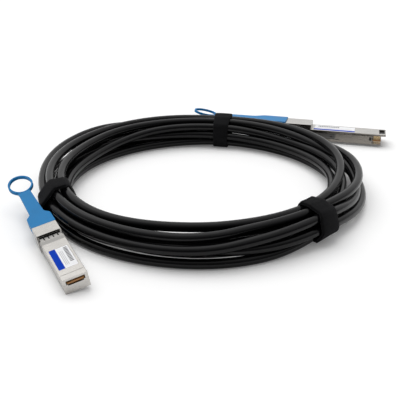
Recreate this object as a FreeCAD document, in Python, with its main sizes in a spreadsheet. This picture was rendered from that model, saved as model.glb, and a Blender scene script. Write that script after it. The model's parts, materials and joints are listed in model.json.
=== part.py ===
"""Direct attach copper cable: a round twinax cable in a tied coil, with an SFP28-style plug on one end
and a QSFP28-style plug on the other.

Parametric document in millimetres. The frame is +Z up with the origin on the floor at the coil's centre.
Each plug is drawn in its own frame, with the nose tip at x = 0, the cable leaving towards -x and the
body's underside at z = 0, and is then laid on the floor beside the coil.
"""

import FreeCAD, Part
import math
import os
import re

import Sketcher
from FreeCAD import Placement, Rotation, Vector

doc = FreeCAD.newDocument("direct_attach_cable")
sheet = doc.addObject("Spreadsheet::Sheet", "sizes")

# ---------------------------------------------------------------- driving dimensions

SHARED = {
    "cable_dia": 5.6,  # jacket of the twinax cable
    "card_thick": 1.0,
    "label_thick": 0.15,
    "label_sunk": 0.2,  # depth of the recess that holds a label
    "wire_rad": 0.5,  # one shielded twinax conductor
    "wire_lap": 1.0,  # how far a conductor reaches over the card
    "wire_rise": 0.6,  # of a layer of conductors above or below the cable's middle
    "crimp_wall": 0.35,
    "fit_gap": 0.05,  # between pieces that are seated in each other
    "run_gap": 0.15,  # between pieces that slide past each other
    "screw_rad": 0.6,
    "screw_head_rad": 1.15,
    "screw_head_high": 0.7,
    "pad_thick": 0.08,
}

SFP = {
    "sfp_long": 58.0,
    "sfp_wide": 13.4,
    "sfp_high": 8.5,
    "sfp_split": 5.2,  # parting plane, level with the card's underside
    "sfp_head_long": 10.5,
    "sfp_head_wide": 14.0,
    "sfp_head_rise": 0.4,
    "sfp_head_drop": 1.6,
    "sfp_groove_long": 3.0,
    "sfp_groove_deep": 0.7,
    "sfp_collar_long": 7.0,
    "sfp_collar_thick": 0.2,
    "sfp_finger_long": 3.6,
    "sfp_finger_wide": 1.9,
    "sfp_finger_pitch": 2.6,
    "sfp_finger_rise": 0.3,
    "sfp_card_wide": 9.4,
    "sfp_card_long": 30.0,
    "sfp_card_set": 0.3,  # the card's edge behind the nose tip
    "sfp_ledge": 0.6,
    "sfp_under_card": 0.7,
    "sfp_mouth_wide": 10.0,
    "sfp_mouth_over": 1.1,
    "sfp_mouth_long": 3.0,
    "sfp_chamber_over": 1.3,
    "sfp_pad_long": 3.0,
    "sfp_pad_wide": 0.54,
    "sfp_pad_pitch": 0.8,
    "sfp_label_front": 9.4,
    "sfp_label_long": 20.4,
    "sfp_label_wide": 10.4,
    "sfp_line_back": 4.2,
    "sfp_line_wide": 0.35,
    "sfp_line_deep": 0.15,
    "sfp_cable_high": 3.8,
    "sfp_rear_wall": 2.0,
    "sfp_boot_long": 8.0,
    "sfp_boot_rad": 3.3,
    "sfp_neck_rad": 2.6,
    "sfp_flange_rad": 3.0,
    "sfp_flange_thick": 1.5,
    "sfp_crimp_long": 4.0,
    "sfp_screw_ahead": 24.0,  # in front of the plug's rear, as are the five latch places
    "sfp_screw_off": 5.6,
    "sfp_screw_long": 6.6,
    "latch_pivot_ahead": 20.0,
    "latch_pivot_high": 1.3,
    "latch_pin_rad": 0.45,
    "latch_wide": 5.0,
    "latch_front_ahead": 29.0,
    "latch_tail_ahead": 12.0,
    "latch_thick": 0.9,
    "latch_low": 0.7,
    "latch_boss_drop": 0.8,
    "latch_boss_long": 2.4,
    "latch_pocket_side": 0.3,
    "latch_front_roof": 2.8,
    "latch_tail_roof": 2.6,
    "latch_ramp_ahead": 16.0,
    "latch_ramp_top_ahead": 13.1,
    "latch_ramp_rise": 0.9,
    "slider_thick": 0.7,
    "slider_low": 7.35,
    "slider_leg_long": 3.0,
    "slider_leg_side": 0.85,
    "slider_foot_low": 1.0,
    "slider_foot_high": 2.35,
    "slider_bar_gap": 0.12,  # between the slider's crossbar and the latch's ramp
    "slider_bar_long": 0.8,
    "slider_tongue": 3.3,
    "sfp_pull": 2.5,  # travel of the pull tab
}

QSFP = {
    "qsfp_long": 77.0,
    "qsfp_wide": 18.35,
    "qsfp_high": 8.5,
    "qsfp_split": 7.1,  # underside of the cover
    "qsfp_card_high": 2.9,
    "qsfp_head_long": 20.0,
    "qsfp_head_rise": 3.6,
    "qsfp_floor": 1.1,
    "qsfp_card_wide": 16.0,
    "qsfp_card_long": 34.0,
    "qsfp_card_set": 3.2,
    "qsfp_ledge": 0.7,
    "qsfp_mouth_wide": 16.5,
    "qsfp_window_long": 10.0,
    "qsfp_lip_long": 5.0,
    "qsfp_lip_deep": 1.1,
    "qsfp_lip_rim": 2.4,
    "qsfp_chin_set": 3.0,
    "qsfp_rib_wide": 0.7,
    "qsfp_seam_high": 0.45,
    "qsfp_seam_deep": 0.45,
    "qsfp_chamber_wide": 12.0,
    "qsfp_pad_long": 5.0,
    "qsfp_pad_wide": 0.54,
    "qsfp_pad_pitch": 0.8,
    "qsfp_label_front": 23.5,
    "qsfp_label_long": 31.5,
    "qsfp_label_wide": 15.2,
    "qsfp_cable_high": 4.4,
    "qsfp_rear_wall": 1.6,
    "qsfp_boot_long": 16.0,
    "qsfp_boot_rad": 3.9,
    "qsfp_neck_rad": 2.9,
    "qsfp_flange_rad": 3.5,
    "qsfp_flange_thick": 1.5,
    "qsfp_crimp_long": 5.0,
    "qsfp_screw_front": 27.0,  # in front of the plug's rear
    "qsfp_screw_rear": 12.0,
    "qsfp_screw_off": 7.0,
    "qsfp_screw_long": 7.9,
    "arm_thick": 0.9,
    "arm_low": 2.2,
    "arm_tall": 4.0,
    "arm_front_back": 38.0,
    "arm_rear_over": 9.0,
    "arm_slot_long": 2.0,
    "arm_slot_high": 1.0,
    "arm_flare": 0.35,
    "arm_well": 3.0,  # length of the recess in front of the arm's tip
    "bar_thick": 2.0,
    "bar_low": 8.7,
    "bar_tall": 1.9,
    "bar_ahead": 9.0,  # in front of the plug's rear
    "spring_rad": 1.0,
    "spring_wire": 0.25,
    "spring_off": 5.0,
    "spring_turns": 5.0,
    "spring_wall": 1.0,  # what stays of the head behind each spring's bore
    "qsfp_pull": 3.0,  # travel of the pull tab
}

TABS = {
    "sfp_tab_low": 7.25,
    "sfp_tab_thick": 1.55,
    "sfp_tab_gap": 0.25,
    "sfp_tab_wide": 14.0,
    "sfp_tab_root": 10.5,
    "sfp_shoulder": 5.5,
    "sfp_strap_wide": 8.3,
    "sfp_strap_neck": 7.4,
    "sfp_skirt_thick": 0.65,
    "sfp_skirt_drop": 3.0,
    "sfp_ring_back": 54.3,
    "sfp_ring_long": 18.0,
    "sfp_ring_wide": 15.2,
    "sfp_ring_wall": 1.1,
    "sfp_ring_tall": 1.9,
    "sfp_ring_tilt": 10.0,  # the ring's far end is raised, so that a finger finds it
    "qsfp_tab_low": 10.9,
    "qsfp_tab_thick": 2.0,
    "qsfp_tab_gap": 0.25,
    "qsfp_tab_wide": 18.35,
    "qsfp_tab_root": 18.0,
    "qsfp_shoulder": 10.0,
    "qsfp_strap_wide": 9.0,
    "qsfp_strap_neck": 8.0,
    "qsfp_skirt_thick": 1.6,
    "qsfp_skirt_drop": 9.1,
    "qsfp_ring_back": 67.0,
    "qsfp_ring_long": 18.4,
    "qsfp_ring_wide": 15.6,
    "qsfp_ring_wall": 1.1,
    "qsfp_ring_tall": 1.7,
    "qsfp_ring_tilt": 10.0,
}

COIL = {
    "coil_mean_rad": 94.2,  # middle of the bundle of turns
    "coil_half_wide": 13.6,  # where the turns fan out between the ties
    "coil_half_tied": 9.7,
    "coil_high": 19.5,
    "coil_tied_high": 18.2,
    "tie_wide": 12.0,
    "tie_thick": 1.3,
    "tie_gap": 0.3,
    "tie_lap": 1.0,  # the strap's loose end, on top of its first layer
    "tie_weld": 0.2,  # how far the loose end is pressed into the layer under it
    "sfp_lead": 8.0,  # straight cable behind a plug's boot
    "qsfp_lead": 14.0,
    "tie_back_angle": 80.0,
    "tie_left_angle": 197.0,
    "tie_right_angle": 316.0,
}

LAYING = {
    "sfp_nose_x": -61.8,
    "sfp_nose_y": -124.4,
    "sfp_heading": -63.9,
    "sfp_dip": 2.2,
    "sfp_roll": 10.5,
    "qsfp_nose_x": 142.4,
    "qsfp_nose_y": 91.0,
    "qsfp_heading": -14.0,
    "qsfp_dip": 0.0,
    "qsfp_roll": -5.0,
}

GROUPS = (SHARED, SFP, QSFP, TABS, COIL, LAYING)
ALIASES = {name: value for group in GROUPS for name, value in group.items()}
for row, (name, value) in enumerate(ALIASES.items(), start=1):
    sheet.set(f"A{row}", name)
    sheet.set(f"B{row}", str(value))
    sheet.setAlias(f"B{row}", name)
doc.recompute()

# ---------------------------------------------------------------- how pieces are drawn

WORD = re.compile(r"[a-z][a-z_]*")
NORMAL = {"x": Vector(1, 0, 0), "y": Vector(0, 1, 0), "z": Vector(0, 0, 1)}
PLANES = {"xy": "XY_Plane", "xz": "XZ_Plane", "yz": "YZ_Plane"}
nodes = []


def link(text):
    """The text with each name in it pointed at its cell of the sheet."""
    return WORD.sub(lambda found: "sizes." + found[0] if found[0] in ALIASES else found[0], str(text))


def size(text):
    """The value of a text over the sheet's names."""
    return float(sheet.evalExpression(link(text)))


def middle(width):
    """The low and high side of something of that width, centred on zero."""
    return f"-({width})/2", f"({width})/2"


def rectangle(first, second):
    """Four corners from a (low, high) pair along each of a plane's two directions."""
    (a, b), (c, d) = first, second
    return [(a, c), (b, c), (b, d), (a, d)]


def draw(sketch, outlines):
    """Closed outlines of straight lines, with each corner tied to the sheet."""
    for points in outlines:
        start = sketch.GeometryCount
        count = len(points)
        places = [Vector(size(u), size(v), 0) for u, v in points]
        for i in range(count):
            sketch.addGeometry(Part.LineSegment(places[i], places[(i + 1) % count]), False)
        for i in range(count):
            join = (start + i, 2, start + (i + 1) % count, 1)
            sketch.addConstraint(Sketcher.Constraint("Coincident", *join))
        for i, (u, v) in enumerate(points):
            for kind, text in (("DistanceX", u), ("DistanceY", v)):
                rule = Sketcher.Constraint(kind, -1, 1, start + i, 1, size(text))
                index = sketch.addConstraint(rule)
                sketch.setExpression(f"Constraints[{index}]", link(text))


def block(name, x, y, z):
    """A box between a low and a high face along each axis."""
    solid = doc.addObject("Part::Box", name)
    for side, axis, (low, high) in zip(("Length", "Width", "Height"), "xyz", (x, y, z)):
        solid.setExpression(side, link(f"({high}) - ({low})"))
        solid.setExpression(f"Placement.Base.{axis}", link(low))
    return solid


def rod(name, axis, start, radius, length):
    """A cylinder from a point along an axis."""
    solid = doc.addObject("Part::Cylinder", name)
    solid.Placement.Rotation = Rotation(Vector(0, 0, 1), NORMAL[axis])
    for letter, text in zip("xyz", start):
        solid.setExpression(f"Placement.Base.{letter}", link(text))
    solid.setExpression("Radius", link(radius))
    solid.setExpression("Height", link(length))
    return solid


def cone(name, axis, start, radius, far_radius, length):
    """A cone from a point along an axis."""
    solid = doc.addObject("Part::Cone", name)
    solid.Placement.Rotation = Rotation(Vector(0, 0, 1), NORMAL[axis])
    for letter, text in zip("xyz", start):
        solid.setExpression(f"Placement.Base.{letter}", link(text))
    solid.setExpression("Radius1", link(radius))
    solid.setExpression("Radius2", link(far_radius))
    solid.setExpression("Height", link(length))
    return solid


def side_profile(name, points, y):
    """An outline in x and z, extruded across y between a low and a high side."""
    sketch = doc.addObject("Sketcher::SketchObject", name + "_outline")
    draw(sketch, [points])
    sketch.Placement.Rotation = Rotation(Vector(1, 0, 0), 90)
    solid = doc.addObject("Part::Extrusion", name)
    solid.Base = sketch
    solid.DirMode = "Normal"
    solid.Solid = True
    low, high = y
    solid.setExpression("LengthFwd", link(f"-({low})"))
    solid.setExpression("LengthRev", link(high))
    return solid


def top_profile(name, points, z):
    """An outline in x and y, extruded up between a low and a high level."""
    sketch = doc.addObject("Sketcher::SketchObject", name + "_outline")
    draw(sketch, [points])
    low, high = z
    sketch.setExpression("Placement.Base.z", link(low))
    solid = doc.addObject("Part::Extrusion", name)
    solid.Base = sketch
    solid.DirMode = "Normal"
    solid.Solid = True
    solid.setExpression("LengthFwd", link(f"({high}) - ({low})"))
    return solid


def oval(name, centre, long_side, wide_side, z):
    """An upright oval prism with its long side along x."""
    edge = doc.addObject("Part::Ellipse", name + "_edge")
    edge.setExpression("MajorRadius", link(f"({long_side})/2"))
    edge.setExpression("MinorRadius", link(f"({wide_side})/2"))
    low, high = z
    edge.setExpression("Placement.Base.x", link(centre))
    edge.setExpression("Placement.Base.z", link(low))
    solid = doc.addObject("Part::Extrusion", name)
    solid.Base = edge
    solid.DirMode = "Custom"
    solid.Dir = Vector(0, 0, 1)
    solid.Solid = True
    solid.setExpression("LengthFwd", link(f"({high}) - ({low})"))
    return solid


def tilted(solid, x, z, angle):
    """Turns a solid about a line across the plug, through a point of its side view."""
    solid.Placement.Rotation = Rotation(NORMAL["y"], size(angle))
    solid.setExpression("Placement.Base.x", link(f"({x})*(1 - cos({angle})) - ({z})*sin({angle})"))
    solid.setExpression("Placement.Base.z", link(f"({z})*(1 - cos({angle})) + ({x})*sin({angle})"))
    return solid


def join(name, shapes):
    whole = doc.addObject("Part::MultiFuse", name)
    whole.Shapes = shapes
    whole.Refine = True
    return whole


def cut(name, base, tools):
    """The base less every tool."""
    tool = tools[0] if len(tools) == 1 else join(name + "_tools", tools)
    result = doc.addObject("Part::Cut", name)
    result.Base = base
    result.Tool = tool
    result.Refine = True
    return result


def group(name, shapes):
    """Separate solids that share one node."""
    several = doc.addObject("Part::Compound", name)
    several.Links = shapes
    return several


def runs_along(edge, axis):
    """True for a straight edge along the axis."""
    if edge.Curve.TypeId != "Part::GeomLine":
        return False
    return abs(abs(edge.tangentAt(edge.FirstParameter).dot(NORMAL[axis])) - 1) < 1e-6


class Casting:
    """A PartDesign body, with the features that shape it added in order."""

    def __init__(self, label):
        self.label = label
        self.body = doc.addObject("PartDesign::Body", label)
        self.steps = 0

    def sketch(self, plane, at, outlines):
        self.steps += 1
        sketch = self.body.newObject("Sketcher::SketchObject", f"{self.label}_sketch_{self.steps}")
        role = PLANES[plane]
        face = [f for f in self.body.Origin.OriginFeatures if f.Role == role][0]
        sketch.AttachmentSupport = [(face, "")]
        sketch.MapMode = "FlatFace"
        sketch.setExpression("AttachmentOffset.Base.z", link(at))
        draw(sketch, outlines)
        return sketch

    def pad(self, plane, at, outlines, length, both_ways=False):
        profile = self.sketch(plane, at, outlines)
        pad = self.body.newObject("PartDesign::Pad", f"{self.label}_pad_{self.steps}")
        pad.Profile = profile
        pad.Midplane = both_ways
        pad.setExpression("Length", link(length))
        doc.recompute()
        return self

    def pocket(self, plane, at, outlines, depth, both_ways=False):
        """Cuts from a plane against its normal, or both ways from it."""
        before = self.body.Shape.Volume
        profile = self.sketch(plane, at, outlines)
        pocket = self.body.newObject("PartDesign::Pocket", f"{self.label}_pocket_{self.steps}")
        pocket.Profile = profile
        pocket.Midplane = both_ways
        pocket.setExpression("Length", link(depth))
        doc.recompute()
        if self.body.Shape.Volume > before - 1e-6:
            raise RuntimeError(f"{pocket.Name} cut nothing")
        return self

    def fillet(self, wanted, radius):
        """Rounds the edges of the last feature that the test picks."""
        last = self.body.Tip
        names = [f"Edge{i}" for i, e in enumerate(last.Shape.Edges, start=1) if wanted(e)]
        self.steps += 1
        fillet = self.body.newObject("PartDesign::Fillet", f"{self.label}_fillet_{self.steps}")
        fillet.Base = (last, names)
        fillet.Radius = radius
        doc.recompute()
        return self


def keep(label, piece, placement):
    """Makes a finished piece a node of the part, in its place."""
    piece.Placement = placement
    piece.Label = label
    if piece.Label != label:
        raise RuntimeError(f"the label {label} is taken")
    nodes.append(piece)
    return piece


def laid_down(plug, lift=0.0):
    """Where a plug lies: its nose's place, its heading, its dip and its roll."""
    place = Vector(size(plug + "_nose_x"), size(plug + "_nose_y"), lift)
    angles = [size(f"{plug}_{turn}") for turn in ("heading", "dip", "roll")]
    return Placement(place, Rotation(*angles))


def resting(plug, lowest_pieces):
    """The plug's placement with its lowest point on the floor."""
    doc.recompute()
    tilted = laid_down(plug)
    bottoms = []
    for piece in lowest_pieces:
        shape = (piece.body if isinstance(piece, Casting) else piece).Shape.copy()
        shape.Placement = tilted
        bottoms.append(shape.optimalBoundingBox(False, False).ZMin)
    return laid_down(plug, -min(bottoms))


# ---------------------------------------------------------------- pieces that both plugs have


def paddle_card(plug, level):
    """Circuit board with its front corners cut back, seated on the shell's ledges."""
    wide, back = f"{plug}_card_wide", f"-{plug}_card_long"
    front, corner = f"-{plug}_card_set", "0.6"
    points = [
        (back, f"-{wide}/2"),
        (f"{front} - {corner}", f"-{wide}/2"),
        (front, f"-{wide}/2 + {corner}"),
        (front, f"{wide}/2 - {corner}"),
        (f"{front} - {corner}", f"{wide}/2"),
        (back, f"{wide}/2"),
    ]
    return top_profile(f"{plug}_card", points, (level, f"{level} + card_thick"))


def contact_pads(plug, level, count, rows=1):
    """Gold contacts in rows on both faces of the card."""
    pads = []
    length, pitch, wide = f"{plug}_pad_long/{rows}", f"{plug}_pad_pitch", f"{plug}_pad_wide"
    faces = ((f"{level} + card_thick", f"{level} + card_thick + pad_thick"), (f"{level} - pad_thick", level))
    for face, z in enumerate(faces):
        for row in range(rows):
            front = f"-{plug}_card_set - 0.6 - {row}*({length} + 0.4)"
            for i in range(count):
                middle_y = f"{pitch}*{i - (count - 1) / 2}"
                y = (f"{middle_y} - {wide}/2", f"{middle_y} + {wide}/2")
                pads.append(block(f"{plug}_pad_{face}_{row}_{i}", (f"{front} - {length}", front), y, z))
    return group(f"{plug}_pads", pads)


def label_plate(plug):
    """A thin label in the recess of the top shell."""
    top = f"{plug}_high - label_sunk"
    back = f"-{plug}_label_front - {plug}_label_long"
    x = (f"{back} + fit_gap", f"-{plug}_label_front - fit_gap")
    y = middle(f"{plug}_label_wide - 2*fit_gap")
    return block(f"{plug}_label_plate", x, y, (top, f"{top} + label_thick"))


def cable_boot(plug):
    """Overmoulded strain relief: a taper outside the shell, a neck in its rear wall, a flange inside."""
    height = f"{plug}_cable_high"
    rear = f"-{plug}_long"
    inside = f"{rear} + {plug}_rear_wall"
    outer_gap = "run_gap"
    long = f"{plug}_boot_long"
    tail_end = f"{rear} - {outer_gap} - {long}"
    end_rad = "cable_dia/2 + 0.35"
    parts = [
        cone(f"{plug}_boot_taper", "x", (tail_end, "0", height), end_rad, f"{plug}_boot_rad", long),
        rod(f"{plug}_boot_neck", "x", (f"{rear} - {outer_gap}", "0", height), f"{plug}_neck_rad",
            f"{plug}_rear_wall + {outer_gap}"),
        rod(f"{plug}_boot_flange", "x", (inside, "0", height), f"{plug}_flange_rad", f"{plug}_flange_thick"),
    ]
    return join(f"{plug}_boot", parts)


def boot_room(plug, name):
    """The space in a shell for the boot's neck and flange, the crimp ring and the conductors behind it."""
    height = f"{plug}_cable_high"
    rear = f"-{plug}_long"
    inside = f"{rear} + {plug}_rear_wall"
    room_long = f"{plug}_flange_thick + {plug}_crimp_long + 3"
    return [
        rod(f"{name}_neck_room", "x", (f"{rear} - 1", "0", height), f"{plug}_neck_rad + fit_gap",
            f"{plug}_rear_wall + 1.5"),
        rod(f"{name}_flange_room", "x", (inside, "0", height), f"{plug}_flange_rad + fit_gap", room_long),
    ]


def crimp_ring(plug):
    """Metal sleeve crimped over the braid, right in front of the boot's flange."""
    height = f"{plug}_cable_high"
    start = f"-{plug}_long + {plug}_rear_wall + {plug}_flange_thick + fit_gap"
    outer_rad = f"{plug}_flange_rad - fit_gap"
    outer = rod(f"{plug}_crimp_outer", "x", (start, "0", height), outer_rad, f"{plug}_crimp_long")
    bore_rad = f"{outer_rad} - crimp_wall"
    bore = rod(f"{plug}_crimp_bore", "x", (f"{start} - 1", "0", height), bore_rad, f"{plug}_crimp_long + 2")
    return cut(f"{plug}_crimp", outer, [bore])


def conductors(plug, level, pairs, spread, bundle):
    """Straight runs from the crimp to the card, half of them over it and half under it."""
    start_x = size(f"-{plug}_long + {plug}_rear_wall + {plug}_flange_thick + fit_gap")
    end_x = size(f"-{plug}_card_long + wire_lap")
    radius = size("wire_rad")
    height = size(f"{plug}_cable_high")
    over = size(f"({level}) + card_thick") + radius + 2 * size("fit_gap")
    under = size(level) - radius - 2 * size("fit_gap")
    runs = []
    for sign, end_z in ((1, over), (-1, under)):
        for i in range(pairs):
            side = i - (pairs - 1) / 2
            begin = Vector(start_x, side * bundle, height + sign * size("wire_rise"))
            end = Vector(end_x, side * spread, end_z)
            runs.append(Part.makeCylinder(radius, (end - begin).Length, begin, end - begin))
    solid = doc.addObject("Part::Feature", f"{plug}_wires")
    solid.Shape = Part.makeCompound(runs)
    return solid


def shell_screws(plug, stations, off, length, level="0"):
    """Countersunk screws from the underside up into the other shell."""
    screws = []
    for i, (back, side) in enumerate(stations):
        y = f"{side}*{off}"
        head = cone(f"{plug}_screw_head_{i}", "z", (f"-{back}", y, level), "screw_head_rad", "screw_rad",
                    "screw_head_high")
        shank = rod(f"{plug}_screw_shank_{i}", "z", (f"-{back}", y, level), "screw_rad", length)
        slot = block(f"{plug}_screw_slot_{i}", (f"-{back} - 0.9", f"-{back} + 0.9"),
                     (f"{y} - 0.15", f"{y} + 0.15"), (f"{level} - 0.1", f"{level} + 0.3"))
        screws.append(cut(f"{plug}_screw_{i}", join(f"{plug}_screw_blank_{i}", [head, shank]), [slot]))
    return group(f"{plug}_screws", screws)


def screw_room(plug, name, stations, off, length, level="0"):
    """Holes for the screws, with their countersinks."""
    holes = []
    for i, (back, side) in enumerate(stations):
        y = f"{side}*{off}"
        holes.append(cone(f"{name}_sink_{i}", "z", (f"-{back}", y, level), "screw_head_rad + fit_gap",
                          "screw_rad + fit_gap", "screw_head_high"))
        holes.append(rod(f"{name}_hole_{i}", "z", (f"-{back}", y, f"{level} - 1"), "screw_rad + fit_gap",
                         f"{length} + 1 + fit_gap"))
    return holes


def pull_tab(plug, rear_cut):
    """Moulded strap with a full-width root, S-curved shoulders and an upright finger ring."""
    low, thick = f"{plug}_tab_low", f"{plug}_tab_thick"
    front = f"-{plug}_long - {plug}_tab_gap"
    root_end = f"{front} - {plug}_tab_root"
    strap_start = f"{root_end} - {plug}_shoulder"
    ring_x = f"-{plug}_long - {plug}_ring_back"
    ring_front = f"{ring_x} + {plug}_ring_long/2"
    strap_end = f"{ring_front} - 2*{plug}_ring_wall"
    wide, strap, neck = f"{plug}_tab_wide/2", f"{plug}_strap_wide/2", f"{plug}_strap_neck/2"
    half = [
        (front, wide),
        (root_end, wide),
        (f"{root_end} - {plug}_shoulder*0.22", f"{wide} - ({wide} - {strap})*0.12"),
        (f"{root_end} - {plug}_shoulder*0.5", f"{wide} - ({wide} - {strap})*0.55"),
        (f"{root_end} - {plug}_shoulder*0.8", f"{wide} - ({wide} - {strap})*0.93"),
        (strap_start, strap),
        (f"{strap_end} + 3.5", neck),
        (f"{strap_end} + 1.2", f"{neck} + 0.3"),
        (strap_end, f"{neck} + 0.9"),
    ]
    outline = half + [(x, f"-({y})") for x, y in reversed(half)]
    strap_plate = top_profile(f"{plug}_strap", outline, (low, f"{low} + {thick}"))
    ring_z = (f"{low} + {thick} - {plug}_ring_tall", f"{low} + {thick}")
    ring = oval(f"{plug}_ring", ring_x, f"{plug}_ring_long", f"{plug}_ring_wide", ring_z)
    hole_z = (f"{ring_z[0]} - 1", f"{ring_z[1]} + 1")
    inner = (f"{plug}_ring_long - 2*{plug}_ring_wall", f"{plug}_ring_wide - 2*{plug}_ring_wall")
    hole = oval(f"{plug}_ring_hole", ring_x, *inner, hole_z)
    for solid in (ring, hole):
        tilted(solid, ring_front, f"{low} + {thick}/2", f"{plug}_ring_tilt")
    skirts = []
    for side in (-1, 1):
        ends = sorted([f"{side}*({wide})", f"{side}*({wide} - {plug}_skirt_thick)"], key=size)
        z = (f"{low} - {plug}_skirt_drop", low)
        skirt = side_profile(f"{plug}_skirt_{side + 1}", [
            (f"{root_end} + 1.5", z[0]),
            (front, z[0]),
            (front, z[1]),
            (root_end, z[1]),
            (root_end, f"{z[1]} - 1.2"),
        ], middle(f"{plug}_skirt_thick"))
        skirt.setExpression("Placement.Base.y", link(f"({ends[0]} + {ends[1]})/2"))
        skirts.append(skirt)
    whole = join(f"{plug}_tab_blank", [strap_plate, ring] + skirts)
    return cut(f"{plug}_tab", whole, [hole] + rear_cut)


# ---------------------------------------------------------------- SFP28-style plug

sfp_head_front = "-sfp_long + sfp_head_long"
sfp_collar_rear = f"{sfp_head_front} + sfp_groove_long"
sfp_collar_front = f"{sfp_collar_rear} + sfp_collar_long"
sfp_body_x = (sfp_head_front, "0")
sfp_head_x = ("-sfp_long", sfp_head_front)
sfp_screws_at = [("(sfp_long - sfp_screw_ahead)", side) for side in (-1, 1)]
slider_x = ("-sfp_long - sfp_tab_gap - slider_tongue", f"{sfp_head_front} - 4")
slider_half = "sfp_head_wide/2 - slider_leg_side"
leg_x = (f"{slider_x[1]} - slider_leg_long", slider_x[1])
latch_pivot = "-sfp_long + latch_pivot_ahead"
latch_tail = "-sfp_long + latch_tail_ahead"
latch_front = "-sfp_long + latch_front_ahead"
latch_ramp = "-sfp_long + latch_ramp_ahead"
latch_ramp_top = "-sfp_long + latch_ramp_top_ahead"
latch_top = "latch_low + latch_thick"
slider_bar_x = (latch_ramp, f"{latch_ramp} + slider_bar_long")


def side_recess(x, deep):
    """Outlines of a strip along each side of the small plug's body, that deep."""
    inner, outer = f"sfp_wide/2 - {deep}", "sfp_wide/2 + 1"
    return [rectangle(x, (inner, outer)), rectangle(x, (f"-({outer})", f"-({inner})"))]


def sfp_slider_room(name):
    """Channels in the head for the release slider and its travel."""
    back_room = "(sfp_pull + run_gap)"
    plate = block(f"{name}_plate_room", ("-sfp_long - 1", f"{slider_x[1]} + run_gap"),
                  middle(f"2*({slider_half}) + 2*run_gap"),
                  ("slider_low - run_gap", "slider_low + slider_thick + run_gap"))
    rooms = [plate]
    x = (f"{leg_x[0]} - {back_room}", f"{leg_x[1]} + run_gap")
    z = ("slider_foot_low - run_gap", "slider_low + slider_thick + run_gap")
    for side in (-1, 1):
        inner, outer = f"{slider_half} - slider_thick - run_gap", f"{slider_half} + run_gap"
        y = (inner, outer) if side > 0 else (f"-({outer})", f"-({inner})")
        rooms.append(block(f"{name}_leg_room_{side + 1}", x, y, z))
    return rooms


def sfp_top():
    """Upper die casting: roof, upper walls, half the head, the nose mouth and the label recess."""
    cast = Casting("sfp_top_cast")
    cast.pad("xy", "sfp_split", [rectangle(sfp_body_x, middle("sfp_wide"))], "sfp_high - sfp_split")
    cast.pad("xy", "sfp_split", [rectangle(sfp_head_x, middle("sfp_head_wide"))],
             "sfp_high + sfp_head_rise - sfp_split")
    high = size("sfp_high")
    cast.fillet(lambda e: runs_along(e, "x") and e.CenterOfMass.z > high - 1e-3, 0.35)
    mouth = rectangle(("-sfp_mouth_long", "1"), middle("sfp_mouth_wide"))
    cast.pocket("xy", "sfp_split + card_thick + sfp_mouth_over", [mouth], "card_thick + sfp_mouth_over + 1")
    chamber = rectangle((f"{sfp_head_front} - 0.5", "-sfp_mouth_long + 0.1"), middle("sfp_mouth_wide"))
    cast.pocket("xy", "sfp_split + card_thick + sfp_chamber_over", [chamber],
                "card_thick + sfp_chamber_over + 1")
    groove_x = (sfp_head_front, sfp_collar_rear)
    across = rectangle(groove_x, middle("sfp_wide + 2"))
    cast.pocket("xy", "sfp_high + 1", [across], "sfp_groove_deep + 1")
    cast.pocket("xy", "sfp_high + 1", side_recess(groove_x, "sfp_groove_deep"), "sfp_high + 1")
    seat_x = (sfp_collar_rear, sfp_collar_front)
    across = rectangle(seat_x, middle("sfp_wide + 2"))
    cast.pocket("xy", "sfp_high + 1", [across], "sfp_collar_thick + 1")
    cast.pocket("xy", "sfp_high + 1", side_recess(seat_x, "sfp_collar_thick"), "sfp_high + 1")
    label_x = ("-sfp_label_front - sfp_label_long", "-sfp_label_front")
    cast.pocket("xy", "sfp_high + 1", [rectangle(label_x, middle("sfp_label_wide"))], "label_sunk + 1")
    line_x = ("-sfp_line_back - sfp_line_wide", "-sfp_line_back")
    cast.pocket("xy", "sfp_high + 1", [rectangle(line_x, middle("sfp_wide - 1.4"))], "sfp_line_deep + 1")
    rooms = boot_room("sfp", "sfp_top") + sfp_slider_room("sfp_top")
    rooms += screw_room("sfp", "sfp_top", sfp_screws_at, "sfp_screw_off", "sfp_screw_long")
    return cut("sfp_top", cast.body, rooms)


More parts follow.
